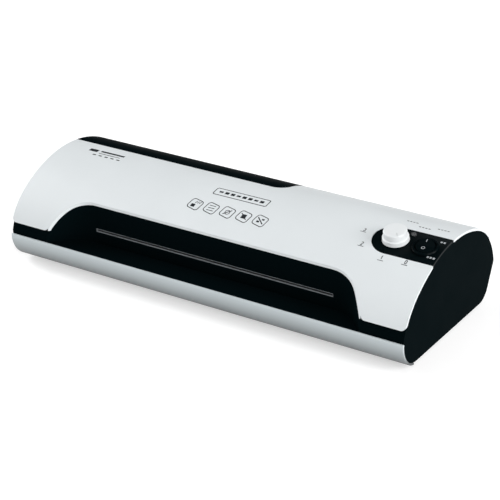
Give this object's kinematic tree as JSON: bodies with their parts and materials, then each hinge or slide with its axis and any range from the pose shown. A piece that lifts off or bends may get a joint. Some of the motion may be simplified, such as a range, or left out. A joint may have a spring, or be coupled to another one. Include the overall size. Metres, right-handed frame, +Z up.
{
  "type": "pouch laminator",
  "caption": "Desktop laminator: arched two-colour case with a front infeed recess, side controls, and geared heated roller pairs on a steel frame.",
  "frame": {"origin": "middle of the case on the desk, under the feet", "axes": "+X along the case towards the controls, +Y from the infeed to the exit, +Z up"},
  "size_m": [0.39, 0.1666, 0.096],
  "materials": {
    "white_cover": "satin moulded ABS with a fine spark texture",
    "white_trim": "satin moulded ABS",
    "black_case": "satin moulded ABS, fine spark texture",
    "black_caps": "satin moulded ABS",
    "black_panel": "low gloss",
    "grey_guide": "satin",
    "dark_guide": "satin",
    "foot_rubber": "matt",
    "steel": "zinc plated",
    "white_knob": "satin",
    "blue_nylon": "matt",
    "black_switch": "satin",
    "brass": "plain",
    "clear_pipe": "polished clear plastic",
    "board_green": "solder mask",
    "board_black": "matt",
    "led_green": "tinted lens",
    "silicone": "smooth red silicone",
    "acetal": "smooth acetal",
    "bearing_nylon": "heat-resistant nylon",
    "spring_steel": "bright wire",
    "heater_aluminium": "mill finish",
    "mica": "mica",
    "ceramic": "ceramic"
  },
  "bodies": {
    "chassis": {"top_cover": "white_cover", "upper_housing": "black_case", "lower_housing": "black_case", "front_trim": "white_trim", "left_end_cap": "black_caps", "right_end_cap": "black_caps", "control_panel": "black_panel", "feed_guide": "grey_guide", "exit_guide": "dark_guide", "rubber_feet": "foot_rubber", "case_screws": "steel", "cord_gland": "foot_rubber", "selector_switch": "blue_nylon", "selector_nut": "steel", "rocker_bezel": "black_switch", "rocker_terminals": "brass", "indicator_light_pipe": "clear_pipe", "control_board": "board_green", "board_parts": "board_black", "board_led": "led_green", "board_standoffs": "black_case", "left_side_plate": "steel", "right_side_plate": "steel", "cross_ties": "steel", "frame_screws": "steel", "lower_bushes": "bearing_nylon", "spring_bridges": "steel", "upper_heater_plate": "heater_aluminium", "lower_heater_plate": "heater_aluminium", "heating_elements": "mica", "thermostats": "ceramic", "thermal_fuse": "ceramic", "drive_motor": "heater_aluminium", "motor_bracket": "steel", "idler_stud": "steel"},
    "knob": {"knob": "white_knob", "selector_shaft": "steel"},
    "rocker": {"rocker": "black_switch"},
    "front_lower_roller": {"front_lower_shaft": "steel", "front_lower_sleeve": "silicone", "front_lower_gear": "acetal"},
    "rear_lower_roller": {"rear_lower_shaft": "steel", "rear_lower_sleeve": "silicone", "rear_lower_gear": "acetal"},
    "front_bearings": {"front_bearing_blocks": "bearing_nylon", "front_pressure_springs": "spring_steel"},
    "rear_bearings": {"rear_bearing_blocks": "bearing_nylon", "rear_pressure_springs": "spring_steel"},
    "front_upper_roller": {"front_upper_shaft": "steel", "front_upper_sleeve": "silicone", "front_upper_gear": "acetal"},
    "rear_upper_roller": {"rear_upper_shaft": "steel", "rear_upper_sleeve": "silicone", "rear_upper_gear": "acetal"},
    "idler": {"idler_gear": "acetal"},
    "pinion": {"motor_pinion": "brass"}
  },
  "joints": [
    {"name": "knob_turn", "type": "hinge", "parent": "chassis", "child": "knob", "pos_m": [0.1533, -0.0202, 0.08381], "axis": [0, -0.2274, 0.9738], "range_deg": [-135, 0]},
    {"name": "rocker_tilt", "type": "hinge", "parent": "chassis", "child": "rocker", "pos_m": [0.1796, -0.01988, 0.08245], "axis": [-1, 0, 0], "range_deg": [0, 14]},
    {"name": "front_lower_roller_spin", "type": "hinge", "parent": "chassis", "child": "front_lower_roller", "pos_m": [0, -0.0284, 0.0315], "axis": [1, 0, 0], "continuous": true},
    {"name": "rear_lower_roller_spin", "type": "hinge", "parent": "chassis", "child": "rear_lower_roller", "pos_m": [0, 0.0216, 0.0315], "axis": [1, 0, 0], "continuous": true},
    {"name": "front_bearing_lift", "type": "slide", "parent": "chassis", "child": "front_bearings", "axis": [0, 0, 1], "range_m": [0, 0.0008], "stiffness_N_per_m": 2000, "springref_m": -0.004},
    {"name": "rear_bearing_lift", "type": "slide", "parent": "chassis", "child": "rear_bearings", "axis": [0, 0, 1], "range_m": [0, 0.0008], "stiffness_N_per_m": 2000, "springref_m": -0.004},
    {"name": "front_upper_roller_spin", "type": "hinge", "parent": "front_bearings", "child": "front_upper_roller", "pos_m": [0, -0.0284, 0.0515], "axis": [1, 0, 0], "continuous": true},
    {"name": "rear_upper_roller_spin", "type": "hinge", "parent": "rear_bearings", "child": "rear_upper_roller", "pos_m": [0, 0.0216, 0.0515], "axis": [1, 0, 0], "continuous": true},
    {"name": "idler_spin", "type": "hinge", "parent": "chassis", "child": "idler", "pos_m": [0, -0.0034, 0.0315], "axis": [1, 0, 0], "continuous": true},
    {"name": "pinion_spin", "type": "hinge", "parent": "chassis", "child": "pinion", "pos_m": [0, -0.0034, 0.0535], "axis": [1, 0, 0], "continuous": true}
  ],
  "couplings": [
    {"joint": "front_upper_roller_spin", "follows": "front_lower_roller_spin", "ratio": -1},
    {"joint": "rear_lower_roller_spin", "follows": "front_lower_roller_spin", "ratio": 1},
    {"joint": "rear_upper_roller_spin", "follows": "front_lower_roller_spin", "ratio": -1},
    {"joint": "idler_spin", "follows": "front_lower_roller_spin", "ratio": -0.66667},
    {"joint": "pinion_spin", "follows": "front_lower_roller_spin", "ratio": 1.4286}
  ]
}
